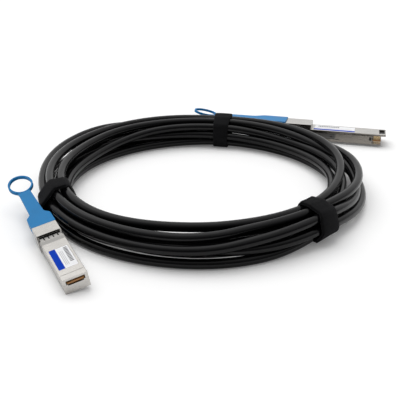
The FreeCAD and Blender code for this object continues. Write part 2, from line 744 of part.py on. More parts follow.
def sfp_bottom():
    """Lower die casting: floor, lower walls, half the head, card ledges and the latch pocket."""
    cast = Casting("sfp_bottom_cast")
    cast.pad("xy", "0", [rectangle(sfp_body_x, middle("sfp_wide"))], "sfp_split")
    cast.pad("xy", "-sfp_head_drop", [rectangle(sfp_head_x, middle("sfp_head_wide"))],
             "sfp_split + sfp_head_drop")
    cast.fillet(lambda e: runs_along(e, "x") and e.CenterOfMass.z < 1e-3, 0.35)
    under = rectangle(("-sfp_card_long", "1"), middle("sfp_card_wide - 2*sfp_ledge"))
    cast.pocket("xy", "sfp_split", [under], "sfp_under_card")
    trough_wide = middle("sfp_card_wide - 2*sfp_ledge")
    over_front = rectangle((latch_pivot, "-sfp_card_long + wire_lap + 0.2"), trough_wide)
    cast.pocket("xy", "sfp_split", [over_front], "sfp_split - latch_front_roof - 0.6")
    over_tail = rectangle((f"{sfp_head_front} - 0.5", f"{latch_pivot} + 0.1"), trough_wide)
    cast.pocket("xy", "sfp_split", [over_tail], "sfp_split - latch_tail_roof - 0.4")
    groove_x = (sfp_head_front, sfp_collar_rear)
    across = rectangle(groove_x, middle("sfp_wide + 2"))
    cast.pocket("xy", "sfp_groove_deep", [across], "sfp_groove_deep + 1")
    cast.pocket("xy", "sfp_split + 1", side_recess(groove_x, "sfp_groove_deep"), "sfp_split + 2")
    seat_x = (sfp_collar_rear, sfp_collar_front)
    across = rectangle(seat_x, middle("sfp_wide + 2"))
    cast.pocket("xy", "sfp_collar_thick", [across], "sfp_collar_thick + 1")
    cast.pocket("xy", "sfp_split + 1", side_recess(seat_x, "sfp_collar_thick"), "sfp_split + 2")
    pocket_wide = middle("latch_wide + 2*latch_pocket_side")
    front = rectangle((f"{latch_pivot} - 1", f"{latch_front} + 0.5"), pocket_wide)
    cast.pocket("xy", "latch_front_roof", [front], "latch_front_roof + 1")
    tail = rectangle((f"{latch_tail} - 1", latch_pivot), pocket_wide)
    cast.pocket("xy", "latch_tail_roof", [tail], "latch_tail_roof + 1")
    rooms = boot_room("sfp", "sfp_bottom") + sfp_slider_room("sfp_bottom")
    rooms += screw_room("sfp", "sfp_bottom", sfp_screws_at, "sfp_screw_off", "sfp_screw_long")
    pin_hole = rod("sfp_pin_hole", "y", (latch_pivot, "-latch_wide/2 - 1.6", "latch_pivot_high"),
                   "latch_pin_rad + 0.02", "latch_wide + 3.2")
    feet = block("sfp_feet_room", (f"{leg_x[0]} - sfp_pull - run_gap", f"{slider_bar_x[1]} + run_gap"),
                 middle(f"2*({slider_half}) + 2*run_gap"),
                 ("slider_foot_low - run_gap", "slider_foot_high + run_gap"))
    return cut("sfp_bottom", cast.body, rooms + [pin_hole, feet])


def emi_collar():
    """Sheet-metal sleeve with a row of bowed contact fingers on every side, open under the latch."""
    thick, rise = "sfp_collar_thick", "sfp_finger_rise"
    band_x = (f"{sfp_collar_rear} + sfp_finger_long", sfp_collar_front)
    outer = block("collar_outer", band_x, middle("sfp_wide"), ("0", "sfp_high"))
    inner = block("collar_inner", (f"{band_x[0]} - 1", f"{band_x[1]} + 1"), middle(f"sfp_wide - 2*{thick}"),
                  (thick, f"sfp_high - {thick}"))
    open_low = block("collar_gap", (f"{sfp_collar_rear} - 1", f"{band_x[1]} + 1"),
                     middle("latch_wide + 2*latch_pocket_side"), ("-1", "1"))
    root, tip = f"{band_x[0]} + 0.2", f"{sfp_collar_rear} + 0.15"
    leaf = [
        (root, "0"), (f"({root} + {tip})/2 + 0.3", rise), (f"({root} + {tip})/2 - 0.3", rise), (tip, "0"),
        (tip, f"-{thick}"), (f"({root} + {tip})/2 - 0.2", f"{rise} - {thick}"),
        (f"({root} + {tip})/2 + 0.2", f"{rise} - {thick}"), (root, f"-{thick}"),
    ]
    fingers = []
    sides = (("top", 5, 0, "sfp_high"), ("low", 5, 180, "0"), ("left", 3, -90, None), ("right", 3, 90, None))
    for side, count, turn, level in sides:
        for i in range(count):
            along = f"sfp_finger_pitch*{i - (count - 1) / 2}"
            finger = side_profile(f"collar_{side}_{i}", leaf, middle("sfp_finger_wide"))
            finger.Placement.Rotation = Rotation(Vector(1, 0, 0), turn)
            if level is None:
                finger.setExpression("Placement.Base.y", link(f"{1 if side == 'left' else -1}*sfp_wide/2"))
                finger.setExpression("Placement.Base.z", link(f"sfp_high/2 + {along}"))
            else:
                finger.setExpression("Placement.Base.y", link(along))
                finger.setExpression("Placement.Base.z", link(level))
            fingers.append(finger)
    band = cut("collar_band", outer, [inner])
    return cut("sfp_collar", join("collar_blank", [band] + fingers), [open_low])


def latch_lever():
    """Rocking lever: a wedge-shaped boss in front of the pivot and a ramp on the tail behind it."""
    low, top = "latch_low", latch_top
    boss_front = f"{latch_front} - 0.5"
    boss_back = f"{boss_front} - latch_boss_long"
    points = [
        (latch_front, f"{low} + 0.3"), (latch_front, top), (latch_ramp, top),
        (latch_ramp_top, f"{top} + latch_ramp_rise"), (latch_tail, f"{top} + latch_ramp_rise"),
        (latch_tail, f"{low} + 0.6"), (latch_ramp, low), (boss_back, low),
        (boss_back, "-latch_boss_drop"), (f"{boss_back} + 0.7", "-latch_boss_drop"), (boss_front, low),
    ]
    lever = side_profile("latch_plate", points, middle("latch_wide"))
    hub = rod("latch_hub", "y", (latch_pivot, "-latch_wide/2", "latch_pivot_high"),
              "latch_pin_rad + 0.45", "latch_wide")
    bore = rod("latch_bore", "y", (latch_pivot, "-latch_wide/2 - 1", "latch_pivot_high"),
               "latch_pin_rad + 0.05", "latch_wide + 2")
    return cut("sfp_lever", join("latch_blank", [lever, hub]), [bore])


def latch_leaf():
    """Bowed leaf spring between the pocket's roof and the lever's front."""
    roof, top = "latch_front_roof", f"{latch_top} + fit_gap"
    x_low, x_mid, x_far = f"{latch_pivot} + 1.5", f"{latch_pivot} + 4.5", f"{latch_pivot} + 7.5"
    points = [
        (x_low, roof), (x_low, f"{roof} - 0.15"), (x_mid, top), (x_far, f"{roof} - 0.15"), (x_far, roof),
        (x_mid, f"{top} + 0.15"),
    ]
    return side_profile("sfp_leaf", points, middle("latch_wide - 2"))


def release_slider():
    """Sheet-metal yoke: a plate under the head's roof, two legs, and a crossbar over the latch's ramp."""
    plate_z = ("slider_low", "slider_low + slider_thick")
    parts = [block("slider_plate", slider_x, middle(f"2*({slider_half})"), plate_z)]
    for side in (-1, 1):
        inner, outer = f"{slider_half} - slider_thick", slider_half
        y = (inner, outer) if side > 0 else (f"-({outer})", f"-({inner})")
        parts.append(block(f"slider_leg_{side + 1}", leg_x, y, ("slider_foot_low", plate_z[1])))
        foot_in, foot_out = "latch_wide/2 + 0.28", slider_half
        y = (foot_in, foot_out) if side > 0 else (f"-({foot_out})", f"-({foot_in})")
        foot_x = (leg_x[0], slider_bar_x[1])
        parts.append(block(f"slider_foot_{side + 1}", foot_x, y, ("slider_foot_low", "slider_foot_high")))
    parts.append(block("slider_crossbar", slider_bar_x, middle("latch_wide + 1"),
                       (f"{latch_top} + slider_bar_gap", "slider_foot_high")))
    return join("sfp_slider", parts)


def memory_chip(plug, level, back):
    """Small identification memory on the card's upper face."""
    z = (f"{level} + card_thick", f"{level} + card_thick + 0.8")
    return block(f"{plug}_chip", (f"-{back} - 3", f"-{back}"), middle("2.4"), z)


def build_sfp():
    top, bottom, lever = sfp_top(), sfp_bottom(), latch_lever()
    place = resting("sfp", [top, bottom, lever])
    tongue = block("sfp_tongue_room", (slider_x[0], "-sfp_long + 1"), middle(f"2*({slider_half})"),
                   ("slider_low", "slider_low + slider_thick"))
    pin = rod("latch_pin", "y", (latch_pivot, "-latch_wide/2 - 1.5", "latch_pivot_high"),
              "latch_pin_rad", "latch_wide + 3")
    pieces = {
        "sfp_top_shell": top,
        "sfp_bottom_shell": bottom,
        "sfp_emi_collar": emi_collar(),
        "sfp_label": label_plate("sfp"),
        "sfp_paddle_card": paddle_card("sfp", "sfp_split"),
        "sfp_contact_pads": contact_pads("sfp", "sfp_split", 10),
        "sfp_memory_chip": memory_chip("sfp", "sfp_split", "12"),
        "sfp_conductors": conductors("sfp", "sfp_split", 2, 2.6, 1.4),
        "sfp_crimp_ring": crimp_ring("sfp"),
        "sfp_cable_boot": cable_boot("sfp"),
        "sfp_shell_screws": shell_screws("sfp", sfp_screws_at, "sfp_screw_off", "sfp_screw_long"),
        "sfp_latch_lever": lever,
        "sfp_latch_pin": group("sfp_pin", [pin]),
        "sfp_latch_spring": latch_leaf(),
        "sfp_release_slider": release_slider(),
        "sfp_pull_tab": pull_tab("sfp", [tongue]),
    }
    for label, piece in pieces.items():
        boxed = piece if piece.TypeId != "Part::Box" else group(label + "_group", [piece])
        keep(label, boxed, place)
    return place


# ---------------------------------------------------------------- QSFP28-style plug

qsfp_head_front = "-qsfp_long + qsfp_head_long"
qsfp_head_x = ("-qsfp_long", qsfp_head_front)
qsfp_screws_at = [(f"(qsfp_long - {ahead})", side) for ahead in ("qsfp_screw_front", "qsfp_screw_rear")
                  for side in (-1, 1)]
arm_inner = "qsfp_wide/2 - arm_thick - run_gap"
bar_x = ("-qsfp_long + bar_ahead", "-qsfp_long + bar_ahead + bar_thick")


def side_strips(x, inner):
    """Outlines of a strip along each side of the plug, from an inner line outwards."""
    return [rectangle(x, (inner, "qsfp_wide/2 + 1")), rectangle(x, ("-qsfp_wide/2 - 1", f"-({inner})"))]


def qsfp_bottom():
    """Deep die-cast tub: card ledges, wire chamber, side channels for the latch arms and a cut-back nose."""
    cast = Casting("qsfp_tub")
    cast.pad("xy", "0", [rectangle(("-qsfp_long", "-qsfp_chin_set"), middle("qsfp_wide"))], "qsfp_split")
    cast.fillet(lambda e: runs_along(e, "x") and e.CenterOfMass.z < 1e-3, 0.35)
    over = rectangle(("-qsfp_card_long", "1"), middle("qsfp_mouth_wide"))
    cast.pocket("xy", "qsfp_split", [over], "qsfp_split - qsfp_card_high")
    under = rectangle(("-qsfp_card_long", "1"), middle("qsfp_card_wide - 2*qsfp_ledge"))
    cast.pocket("xy", "qsfp_card_high", [under], "qsfp_card_high - qsfp_floor")
    chamber_x = ("-qsfp_long + qsfp_rear_wall + qsfp_flange_thick + 2", "-qsfp_card_long + 0.1")
    chamber = rectangle(chamber_x, middle("qsfp_chamber_wide"))
    cast.pocket("xy", "qsfp_split", [chamber], "qsfp_split - qsfp_floor")
    window_x = ("-qsfp_window_long", "1")
    window = rectangle(window_x, middle("qsfp_wide + 2"))
    cast.pocket("xy", "qsfp_split", [window], "qsfp_split - qsfp_floor")
    channel_x = ("-qsfp_long - 1", "-arm_front_back + arm_well")
    low, high = "arm_low - run_gap", "arm_low + arm_tall + run_gap"
    cast.pocket("xy", high, side_strips(channel_x, arm_inner), f"({high}) - ({low})")
    riser_x = (f"{bar_x[0]} - qsfp_pull - run_gap", f"{bar_x[1]} + run_gap")
    cast.pocket("xy", "qsfp_split + 1", side_strips(riser_x, arm_inner), "qsfp_split + 1 - arm_low")
    seam_x = (qsfp_head_front, "-qsfp_window_long")
    inner = "qsfp_wide/2 - qsfp_seam_deep"
    cast.pocket("xy", "qsfp_split + 1", side_strips(seam_x, inner), "qsfp_seam_high + 1")
    rooms = boot_room("qsfp", "qsfp_bottom")
    rooms += screw_room("qsfp", "qsfp_bottom", qsfp_screws_at, "qsfp_screw_off", "qsfp_screw_long")
    return cut("qsfp_bottom", cast.body, rooms)


def qsfp_top():
    """Cover casting: a plate over the body, a raised head with the slider's slot, and the nose lip."""
    cast = Casting("qsfp_cover")
    plate = rectangle((qsfp_head_front, "0"), middle("qsfp_wide"))
    cast.pad("xy", "qsfp_split", [plate], "qsfp_high - qsfp_split")
    cast.pad("xy", "qsfp_split", [rectangle(qsfp_head_x, middle("qsfp_wide"))],
             "qsfp_high + qsfp_head_rise - qsfp_split")
    high = size("qsfp_high")
    cast.fillet(lambda e: runs_along(e, "x") and e.CenterOfMass.z > high - 1e-3, 0.35)
    ribs = []
    for side in (-1, 1):
        outer, inner = "qsfp_card_wide/2 - 0.1", "qsfp_card_wide/2 - 0.1 - qsfp_rib_wide"
        y = (inner, outer) if side > 0 else (f"-({outer})", f"-({inner})")
        ribs.append(rectangle(("-qsfp_card_long + 1", "-qsfp_window_long"), y))
    cast.pad("xy", "qsfp_card_high + card_thick", ribs, "qsfp_split - qsfp_card_high - card_thick")
    lip = rectangle(("-qsfp_lip_long", "-0.8"), middle("qsfp_wide - 2*qsfp_lip_rim"))
    cast.pocket("xy", "qsfp_high + 1", [lip], "qsfp_lip_deep + 1")
    label_x = ("-qsfp_label_front - qsfp_label_long", "-qsfp_label_front")
    cast.pocket("xy", "qsfp_high + 1", [rectangle(label_x, middle("qsfp_label_wide"))], "label_sunk + 1")
    slot_x = (f"{bar_x[0]} - qsfp_pull - run_gap", f"{bar_x[1]} + run_gap")
    slot_low, slot_high = "bar_low - run_gap", "bar_low + bar_tall + run_gap"
    slot = rectangle(slot_x, middle("qsfp_wide + 2"))
    cast.pocket("xy", slot_high, [slot], f"({slot_high}) - ({slot_low})")
    cast.pocket("xy", slot_high, side_strips(slot_x, arm_inner), f"({slot_high}) - qsfp_split + 1")
    rooms = boot_room("qsfp", "qsfp_top")
    rooms += screw_room("qsfp", "qsfp_top", qsfp_screws_at, "qsfp_screw_off", "qsfp_screw_long")
    for side in (-1, 1):
        start = ("-qsfp_long + spring_wall", f"{side}*spring_off", "bar_low + bar_tall/2")
        rooms.append(rod(f"qsfp_spring_bore_{side + 1}", "x", start, "spring_rad + spring_wire + run_gap",
                         "bar_ahead - spring_wall + 0.1"))
    return cut("qsfp_top", cast.body, rooms)


def latch_slider():
    """Two side arms with windowed, flared tips, joined by a bar through the head."""
    parts = []
    outer = "qsfp_wide/2"
    arm_x = ("-qsfp_long - arm_rear_over", "-arm_front_back")
    z = ("arm_low", "arm_low + arm_tall")
    slot_x = ("-arm_front_back - 2 - arm_slot_long", "-arm_front_back - 2")
    slot_mid = "arm_low + arm_tall/2"
    slot_z = (f"{slot_mid} - arm_slot_high/2", f"{slot_mid} + arm_slot_high/2")
    for side in (-1, 1):
        y = (f"{outer} - arm_thick", outer) if side > 0 else (f"-{outer}", f"-{outer} + arm_thick")
        arm = block(f"arm_{side + 1}", arm_x, y, z)
        window = block(f"arm_window_{side + 1}", slot_x, (f"{y[0]} - 1", f"{y[1]} + 1"), slot_z)
        parts.append(cut(f"arm_cut_{side + 1}", arm, [window]))
        parts.append(block(f"riser_{side + 1}", bar_x, y, ("arm_low", "bar_low + bar_tall")))
        tip = top_profile(f"arm_flare_{side + 1}", [
            ("-arm_front_back - 1.6", f"{side}*{outer}"),
            ("-arm_front_back - 0.6", f"{side}*({outer} + arm_flare)"),
            ("-arm_front_back", f"{side}*({outer} + arm_flare)"),
            ("-arm_front_back", f"{side}*({outer})"),
        ], z)
        parts.append(tip)
    parts.append(block("slider_bar", bar_x, middle("qsfp_wide"), ("bar_low", "bar_low + bar_tall")))
    return join("qsfp_slider", parts)


def return_springs():
    """Two coil springs behind the slider's bar."""
    length = size("bar_ahead - spring_wall - 2*fit_gap")
    wire, radius = size("spring_wire"), size("spring_rad")
    turns = int(size("spring_turns"))
    pitch = (length - 2 * wire) / turns
    springs = []
    along_wire = Vector(0, 1, pitch / (2 * math.pi * radius))
    for side in (-1, 1):
        spine = Part.makeHelix(pitch, pitch * turns, radius)
        section = Part.Wire([Part.makeCircle(wire, Vector(radius, 0, 0), along_wire)])
        coil = Part.Wire(spine).makePipeShell([section], True, True)
        start = Vector(size(bar_x[0]) - size("fit_gap") - length + wire, side * size("spring_off"),
                       size("bar_low + bar_tall/2"))
        coil.Placement = Placement(start, Rotation(Vector(0, 0, 1), Vector(1, 0, 0)))
        springs.append(coil)
    solid = doc.addObject("Part::Feature", "qsfp_springs")
    solid.Shape = Part.makeCompound(springs)
    return solid


def build_qsfp():
    top, bottom = qsfp_top(), qsfp_bottom()
    place = resting("qsfp", [top, bottom])
    arm_rooms = []
    inner, outer = "qsfp_wide/2 - arm_thick", "qsfp_wide/2 + 1"
    x = ("-qsfp_long - arm_rear_over", "-qsfp_long + 1")
    for side in (-1, 1):
        y = (inner, outer) if side > 0 else (f"-({outer})", f"-({inner})")
        arm_rooms.append(block(f"qsfp_tab_arm_room_{side + 1}", x, y, ("arm_low", "arm_low + arm_tall")))
    pieces = {
        "qsfp_top_shell": top,
        "qsfp_bottom_shell": bottom,
        "qsfp_label": label_plate("qsfp"),
        "qsfp_paddle_card": paddle_card("qsfp", "qsfp_card_high"),
        "qsfp_contact_pads": contact_pads("qsfp", "qsfp_card_high", 19),
        "qsfp_memory_chip": memory_chip("qsfp", "qsfp_card_high", "16"),
        "qsfp_conductors": conductors("qsfp", "qsfp_card_high", 4, 2.9, 1.35),
        "qsfp_crimp_ring": crimp_ring("qsfp"),
        "qsfp_cable_boot": cable_boot("qsfp"),
        "qsfp_shell_screws": shell_screws("qsfp", qsfp_screws_at, "qsfp_screw_off", "qsfp_screw_long"),
        "qsfp_latch_slider": latch_slider(),
        "qsfp_return_springs": return_springs(),
        "qsfp_pull_tab": pull_tab("qsfp", arm_rooms),
    }
    for label, piece in pieces.items():
        boxed = piece if piece.TypeId != "Part::Box" else group(label + "_group", [piece])
        keep(label, boxed, place)
    return place


# ---------------------------------------------------------------- the coil, its ties and its two tails

TIES = (("tie_back", "tie_back_angle"), ("tie_left", "tie_left_angle"), ("tie_right", "tie_right_angle"))


def bundle_section(angle, share):
    """Oval outline of the bundle at an angle round the coil; share is 0 at a tie and 1 between two ties."""
    half_wide = size("coil_half_tied") + share * size("coil_half_wide - coil_half_tied")
    high = size("coil_tied_high") + share * size("coil_high - coil_tied_high")
    base = (1 - share) * size("tie_thick + tie_gap")
    turn = math.radians(angle)
    out = Vector(math.cos(turn), math.sin(turn), 0)
    centre = out * size("coil_mean_rad") + Vector(0, 0, base + high / 2)
    return centre, out, half_wide, high / 2


def oval_wire(centre, out, half_wide, half_high):
    """An oval in the plane of a radius and the vertical."""
    wide_first = half_wide >= half_high
    major, minor = (half_wide, half_high) if wide_first else (half_high, half_wide)
    along = out if wide_first else Vector(0, 0, 1)
    across = Vector(0, 0, 1) if wide_first else out
    edge = Part.Ellipse(centre + along * major, centre + across * minor, centre)
    return Part.Wire([edge.toShape()])


def coil_solid():
    """The closed outer shape of the turns, drawn in at each tie and fuller between them."""
    angles = [size(angle) for _, angle in TIES]
    lobes = []
    steps = 8
    for start, end in zip(angles, angles[1:] + [angles[0] + 360]):
        wires = []
        for i in range(steps + 1):
            share = (1 - math.cos(2 * math.pi * i / steps)) / 2
            wires.append(oval_wire(*bundle_section(start + (end - start) * i / steps, share)))
        lobes.append(Part.makeLoft(wires, True, False))
    solid = doc.addObject("Part::Feature", "coil")
    solid.Shape = lobes[0].fuse(lobes[1:]).removeSplitter()
    return solid


def tie_strap(name, angle_name):
    """Hook-and-loop strap round the bundle, with its loose end lapped over the outer side."""
    angle, thick, lap = size(angle_name), size("tie_thick"), size("tie_lap")
    gap = size("tie_gap")
    centre, out, half_wide, half_high = bundle_section(angle, 0)
    spread = math.degrees(size("tie_wide") / size("coil_mean_rad"))

    def layer(inner, outer, limits=()):
        """The strap between two ovals, within the limits, over the strap's width."""
        hole = Part.Face(oval_wire(centre, out, half_wide + inner, half_high + inner))
        section = Part.Face(oval_wire(centre, out, half_wide + outer, half_high + outer)).cut(hole)
        for limit in limits:
            section = section.common(limit)
        section.rotate(Vector(0, 0, 0), NORMAL["z"], -spread / 2)
        return section.revolve(Vector(0, 0, 0), NORMAL["z"], spread)

    reach = 2 * (half_wide + half_high)
    upper = Part.makeBox(2 * reach, 2 * reach, reach, centre + Vector(-reach, -reach, half_high * 0.1))
    outer_half = Part.makeBox(reach, 2 * reach, 2 * reach, Vector(0, -reach, -reach))
    outer_half.Placement = Placement(centre, Rotation(NORMAL["z"], angle)).multiply(outer_half.Placement)
    band = layer(gap, gap + thick)
    loose_end = layer(gap + thick - size("tie_weld"), gap + thick + lap, (upper, outer_half))
    strap = band.fuse(loose_end).removeSplitter()
    solid = doc.addObject("Part::Feature", name)
    solid.Shape = strap.Solids[0]
    return solid


def smooth_path(points):
    """Straight runs joined by tangent arcs, each as large as its two runs allow. Returns wire and radii."""
    edges, radii = [], []
    last = points[0]
    for before, corner, after in zip(points, points[1:], points[2:]):
        inward, onward = (before - corner), (after - corner)
        shorter = min(inward.Length, onward.Length)
        inward.normalize()
        onward.normalize()
        turn = math.pi - inward.getAngle(onward)
        reach = 0.45 * shorter
        radius = reach / math.tan(turn / 2)
        radii.append(radius)
        bisector = (inward + onward).normalize()
        centre = corner + bisector * (radius / math.cos(turn / 2))
        first, final = corner + inward * reach, corner + onward * reach
        arc_middle = centre - bisector * radius
        edges.append(Part.LineSegment(last, first).toShape())
        edges.append(Part.Arc(first, arc_middle, final).toShape())
        last = final
    edges.append(Part.LineSegment(last, points[-1]).toShape())
    return Part.Wire(edges), radii


def cable_tube(name, points):
    """A plain tube of the cable's diameter along a route chosen by hand."""
    wire, radii = smooth_path([Vector(*p) for p in points])
    start = wire.Edges[0]
    heading = start.tangentAt(start.FirstParameter)
    section = Part.Wire([Part.makeCircle(size("cable_dia/2"), Vector(*points[0]), heading)])
    tube = wire.makePipeShell([section], True, False)
    expected = math.pi * size("cable_dia/2") ** 2 * wire.Length
    print(f"{name}: length {wire.Length:.1f}, radii {[round(r) for r in radii]}, "
          f"volume over section times length {tube.Volume / expected:.4f}")
    solid = doc.addObject("Part::Feature", name)
    solid.Shape = tube
    return solid


def behind_boot(place, plug, distance="0"):
    """A point on the cable's line at a distance behind the tip of a plug's boot."""
    back = size(f"{plug}_long + run_gap + {plug}_boot_long + {distance}")
    return tuple(place.multVec(Vector(-back, 0, size(f"{plug}_cable_high"))))


sfp_place = build_sfp()
qsfp_place = build_qsfp()
flat = Placement()
keep("cable_coil", coil_solid(), flat)
for tie_name, tie_angle in TIES:
    keep(tie_name, tie_strap(tie_name, tie_angle), flat)

SFP_ROUTE = [
    behind_boot(sfp_place, "sfp"),
    behind_boot(sfp_place, "sfp", "sfp_lead"),
    (-96.4, -50.4, 7.8),
    (-95.4, -42.2, 7.9),
    (-93.3, -34.4, 8.2),
    (-93.3, -26.4, 8.6),
]
QSFP_ROUTE = [
    behind_boot(qsfp_place, "qsfp"),
    behind_boot(qsfp_place, "qsfp", "qsfp_lead"),
    (23.0, 118.0, 3.8),
    (5.5, 116.2, 3.4),
    (-11.5, 111.0, 4.0),
    (-27.0, 103.0, 5.2),
    (-41.0, 93.0, 6.6),
]
keep("sfp_cable_tail", cable_tube("sfp_tail", SFP_ROUTE), flat)
keep("qsfp_cable_tail", cable_tube("qsfp_tail", QSFP_ROUTE), flat)

# ---------------------------------------------------------------- checks and files

doc.recompute()
for thing in doc.Objects:
    if "Invalid" in thing.State or "Error" in thing.State:
        raise RuntimeError(f"{thing.Label} failed to build: {thing.State}")
for node in nodes:
    if node.Shape.isNull() or not node.Shape.isValid():
        raise RuntimeError(f"{node.Label} has no valid shape")

os.makedirs("parts", exist_ok=True)
for node in nodes:
    node.Shape.exportStep(f"parts/{node.Label}.step")
print(f"{len(nodes)} nodes written")
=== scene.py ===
"""A direct attach copper cable in a plain studio: a tied coil of twinax with a plug on each end."""

import json
import math

import bmesh
import bpy
import numpy as np
from mathutils import Matrix, Vector


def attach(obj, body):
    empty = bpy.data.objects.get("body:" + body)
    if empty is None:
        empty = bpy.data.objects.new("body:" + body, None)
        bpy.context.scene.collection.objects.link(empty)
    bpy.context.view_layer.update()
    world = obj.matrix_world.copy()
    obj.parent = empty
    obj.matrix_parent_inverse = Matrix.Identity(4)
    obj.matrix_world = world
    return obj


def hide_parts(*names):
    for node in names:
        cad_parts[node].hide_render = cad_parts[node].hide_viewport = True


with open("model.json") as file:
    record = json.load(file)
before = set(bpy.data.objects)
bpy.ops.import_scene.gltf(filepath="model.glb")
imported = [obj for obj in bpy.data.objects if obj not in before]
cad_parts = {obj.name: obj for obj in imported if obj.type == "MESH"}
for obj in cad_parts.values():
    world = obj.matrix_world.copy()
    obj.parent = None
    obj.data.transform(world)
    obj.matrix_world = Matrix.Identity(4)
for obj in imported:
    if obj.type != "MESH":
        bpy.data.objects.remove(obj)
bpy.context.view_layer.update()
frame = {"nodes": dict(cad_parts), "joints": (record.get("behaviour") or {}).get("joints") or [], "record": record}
nodes = frame["nodes"]
record = frame["record"]
ROOT = "cable_assembly"
MM = 0.001

# ---------------------------------------------------------------- where the plugs lie

PLUG_HIGH = 8.5 * MM
mounts = {mount["name"]: mount for mount in record["mounts"]}
joints = {joint["name"]: joint for joint in frame["joints"]}


def plug_placement(nose, y_axis):
    """The plug's own frame: x out of the nose, z up out of its cover, origin under the nose's tip."""
    x = Vector(nose["axis"]).normalized()
    z = x.cross(y_axis).normalized()
    y = z.cross(x)
    origin = Vector(nose["pos_m"]) - z * PLUG_HIGH / 2
    turn = Matrix((x, y, z)).transposed().to_4x4()
    return Matrix.Translation(origin) @ turn


sfp_y = -Vector(joints["sfp_latch_pivot"]["axis"])
qsfp_up = -Vector(mounts["qsfp_underside"]["axis"])
qsfp_y = qsfp_up.cross(Vector(mounts["qsfp_nose"]["axis"]))
SFP = plug_placement(mounts["sfp_nose"], sfp_y)
QSFP = plug_placement(mounts["qsfp_nose"], qsfp_y)

# ---------------------------------------------------------------- materials

# Noise keeps mostly to the middle of its range, so a mix of two colours or gloss levels spreads over that.
CLOUDS = (0.35, 0.65)
SMEARS = (0.3, 0.7)


class Shader:
    """A node material round one Principled shader, built up by small steps."""

    def __init__(self, name, color, roughness, metallic=0.0, specular=0.5):
        self.material = bpy.data.materials.new(name)
        self.material.use_nodes = True
        self.tree = self.material.node_tree
        self.bsdf = self.tree.nodes["Principled BSDF"]
        self.bsdf.inputs["Base Color"].default_value = (*color, 1)
        self.bsdf.inputs["Roughness"].default_value = roughness
        self.bsdf.inputs["Metallic"].default_value = metallic
        self.bsdf.inputs["Specular IOR Level"].default_value = specular

    def node(self, kind, **inputs):
        """A new node, with its sockets set by name, _ standing for a space."""
        made = self.tree.nodes.new(kind)
        for key, value in inputs.items():
            made.inputs[key.replace("_", " ")].default_value = value
        return made

    def link(self, source, target):
        self.tree.links.new(source, target)

    def feed(self, socket, value):
        """Gives a socket a value, which may be another node's output."""
        if isinstance(value, bpy.types.NodeSocket):
            self.link(value, socket)
        elif isinstance(value, (tuple, list)):
            socket.default_value = (*value, 1)
        else:
            socket.default_value = value

    def coordinates(self, stretch=(1, 1, 1)):
        """Object coordinates in millimetres, stretched along each axis."""
        place = self.node("ShaderNodeTexCoord")
        mapping = self.node("ShaderNodeMapping")
        mapping.inputs["Scale"].default_value = [1000 * s for s in stretch]
        self.link(place.outputs["Object"], mapping.inputs["Vector"])
        return mapping.outputs["Vector"]

    def local(self, plug, piece):
        """Millimetres in a plug's own frame, as three sockets."""
        place = self.node("ShaderNodeTexCoord")
        mapping = self.node("ShaderNodeMapping")
        move = plug.inverted() @ piece.matrix_world
        mapping.inputs["Location"].default_value = move.translation * 1000
        mapping.inputs["Rotation"].default_value = move.to_euler()
        mapping.inputs["Scale"].default_value = (1000, 1000, 1000)
        self.link(place.outputs["Object"], mapping.inputs["Vector"])
        split = self.node("ShaderNodeSeparateXYZ")
        self.link(mapping.outputs["Vector"], split.inputs["Vector"])
        return split.outputs

    def math(self, kind, first, second=0.0):
        made = self.tree.nodes.new("ShaderNodeMath")
        made.operation = kind
        for socket, value in zip(made.inputs, (first, second)):
            self.feed(socket, value)
        return made.outputs["Value"]

    def within(self, value, low, high, soft=0.08):
        """1 where a value lies between two limits, with soft ends."""
        rising = self.ramp(value, low - soft, low + soft)
        falling = self.ramp(value, high - soft, high + soft, 1.0, 0.0)
        return self.math("MULTIPLY", rising, falling)

    def patch(self, place, x, y, soft=0.08):
        """1 inside a rectangle seen from above the plug."""
        return self.math("MULTIPLY", self.within(place["X"], *x, soft), self.within(place["Y"], *y, soft))

    def noise(self, scale, detail=4.0, roughness=0.55, where=None):
        """Smooth noise from 0 to 1, with so many lumps to the millimetre."""
        made = self.node("ShaderNodeTexNoise", Scale=scale, Detail=detail, Roughness=roughness)
        self.link(where or self.coordinates(), made.inputs["Vector"])
        return made.outputs["Fac"]

    def mix(self, factor, first, second):
        """A colour between two, each a colour or a socket."""
        made = self.tree.nodes.new("ShaderNodeMix")
        made.data_type = "RGBA"
        colors = [socket for socket in made.inputs if socket.type == "RGBA"]
        self.feed(made.inputs[0], factor)
        self.feed(colors[0], first)
        self.feed(colors[1], second)
        return next(socket for socket in made.outputs if socket.type == "RGBA")

    def ramp(self, value, low, high, to_low=0.0, to_high=1.0):
        """A value carried from one range to another and held at its ends."""
        made = self.node("ShaderNodeMapRange", From_Min=low, From_Max=high, To_Min=to_low, To_Max=to_high)
        self.link(value, made.inputs["Value"])
        return made.outputs["Result"]

    def paint(self, color):
        self.link(color, self.bsdf.inputs["Base Color"])
        return self

    def rough(self, value):
        self.link(value, self.bsdf.inputs["Roughness"])
        return self

    def bump(self, *layers, edge=0.0):
        """Stacks bumps, each a height socket and its depth in millimetres, over softened edges."""
        normal = None
        if edge:
            soft = self.node("ShaderNodeBevel", Radius=edge * MM)
            soft.samples = 6
            normal = soft.outputs["Normal"]
        for height, depth in layers:
            made = self.node("ShaderNodeBump", Strength=1.0, Distance=depth * MM)
            self.link(height, made.inputs["Height"])
            if normal:
                self.link(normal, made.inputs["Normal"])
            normal = made.outputs["Normal"]
        self.link(normal, self.bsdf.inputs["Normal"])
        return self


def varied(color, amount):
    """A darker and a lighter version of a colour."""
    return [c * (1 - amount) for c in color], [min(1, c * (1 + amount)) for c in color]


PAINTED_SHADE = (0.010, 0.010, 0.010)  # near black: painted shade, and painted reflection of the dark coil, wherever a shade mask calls for it
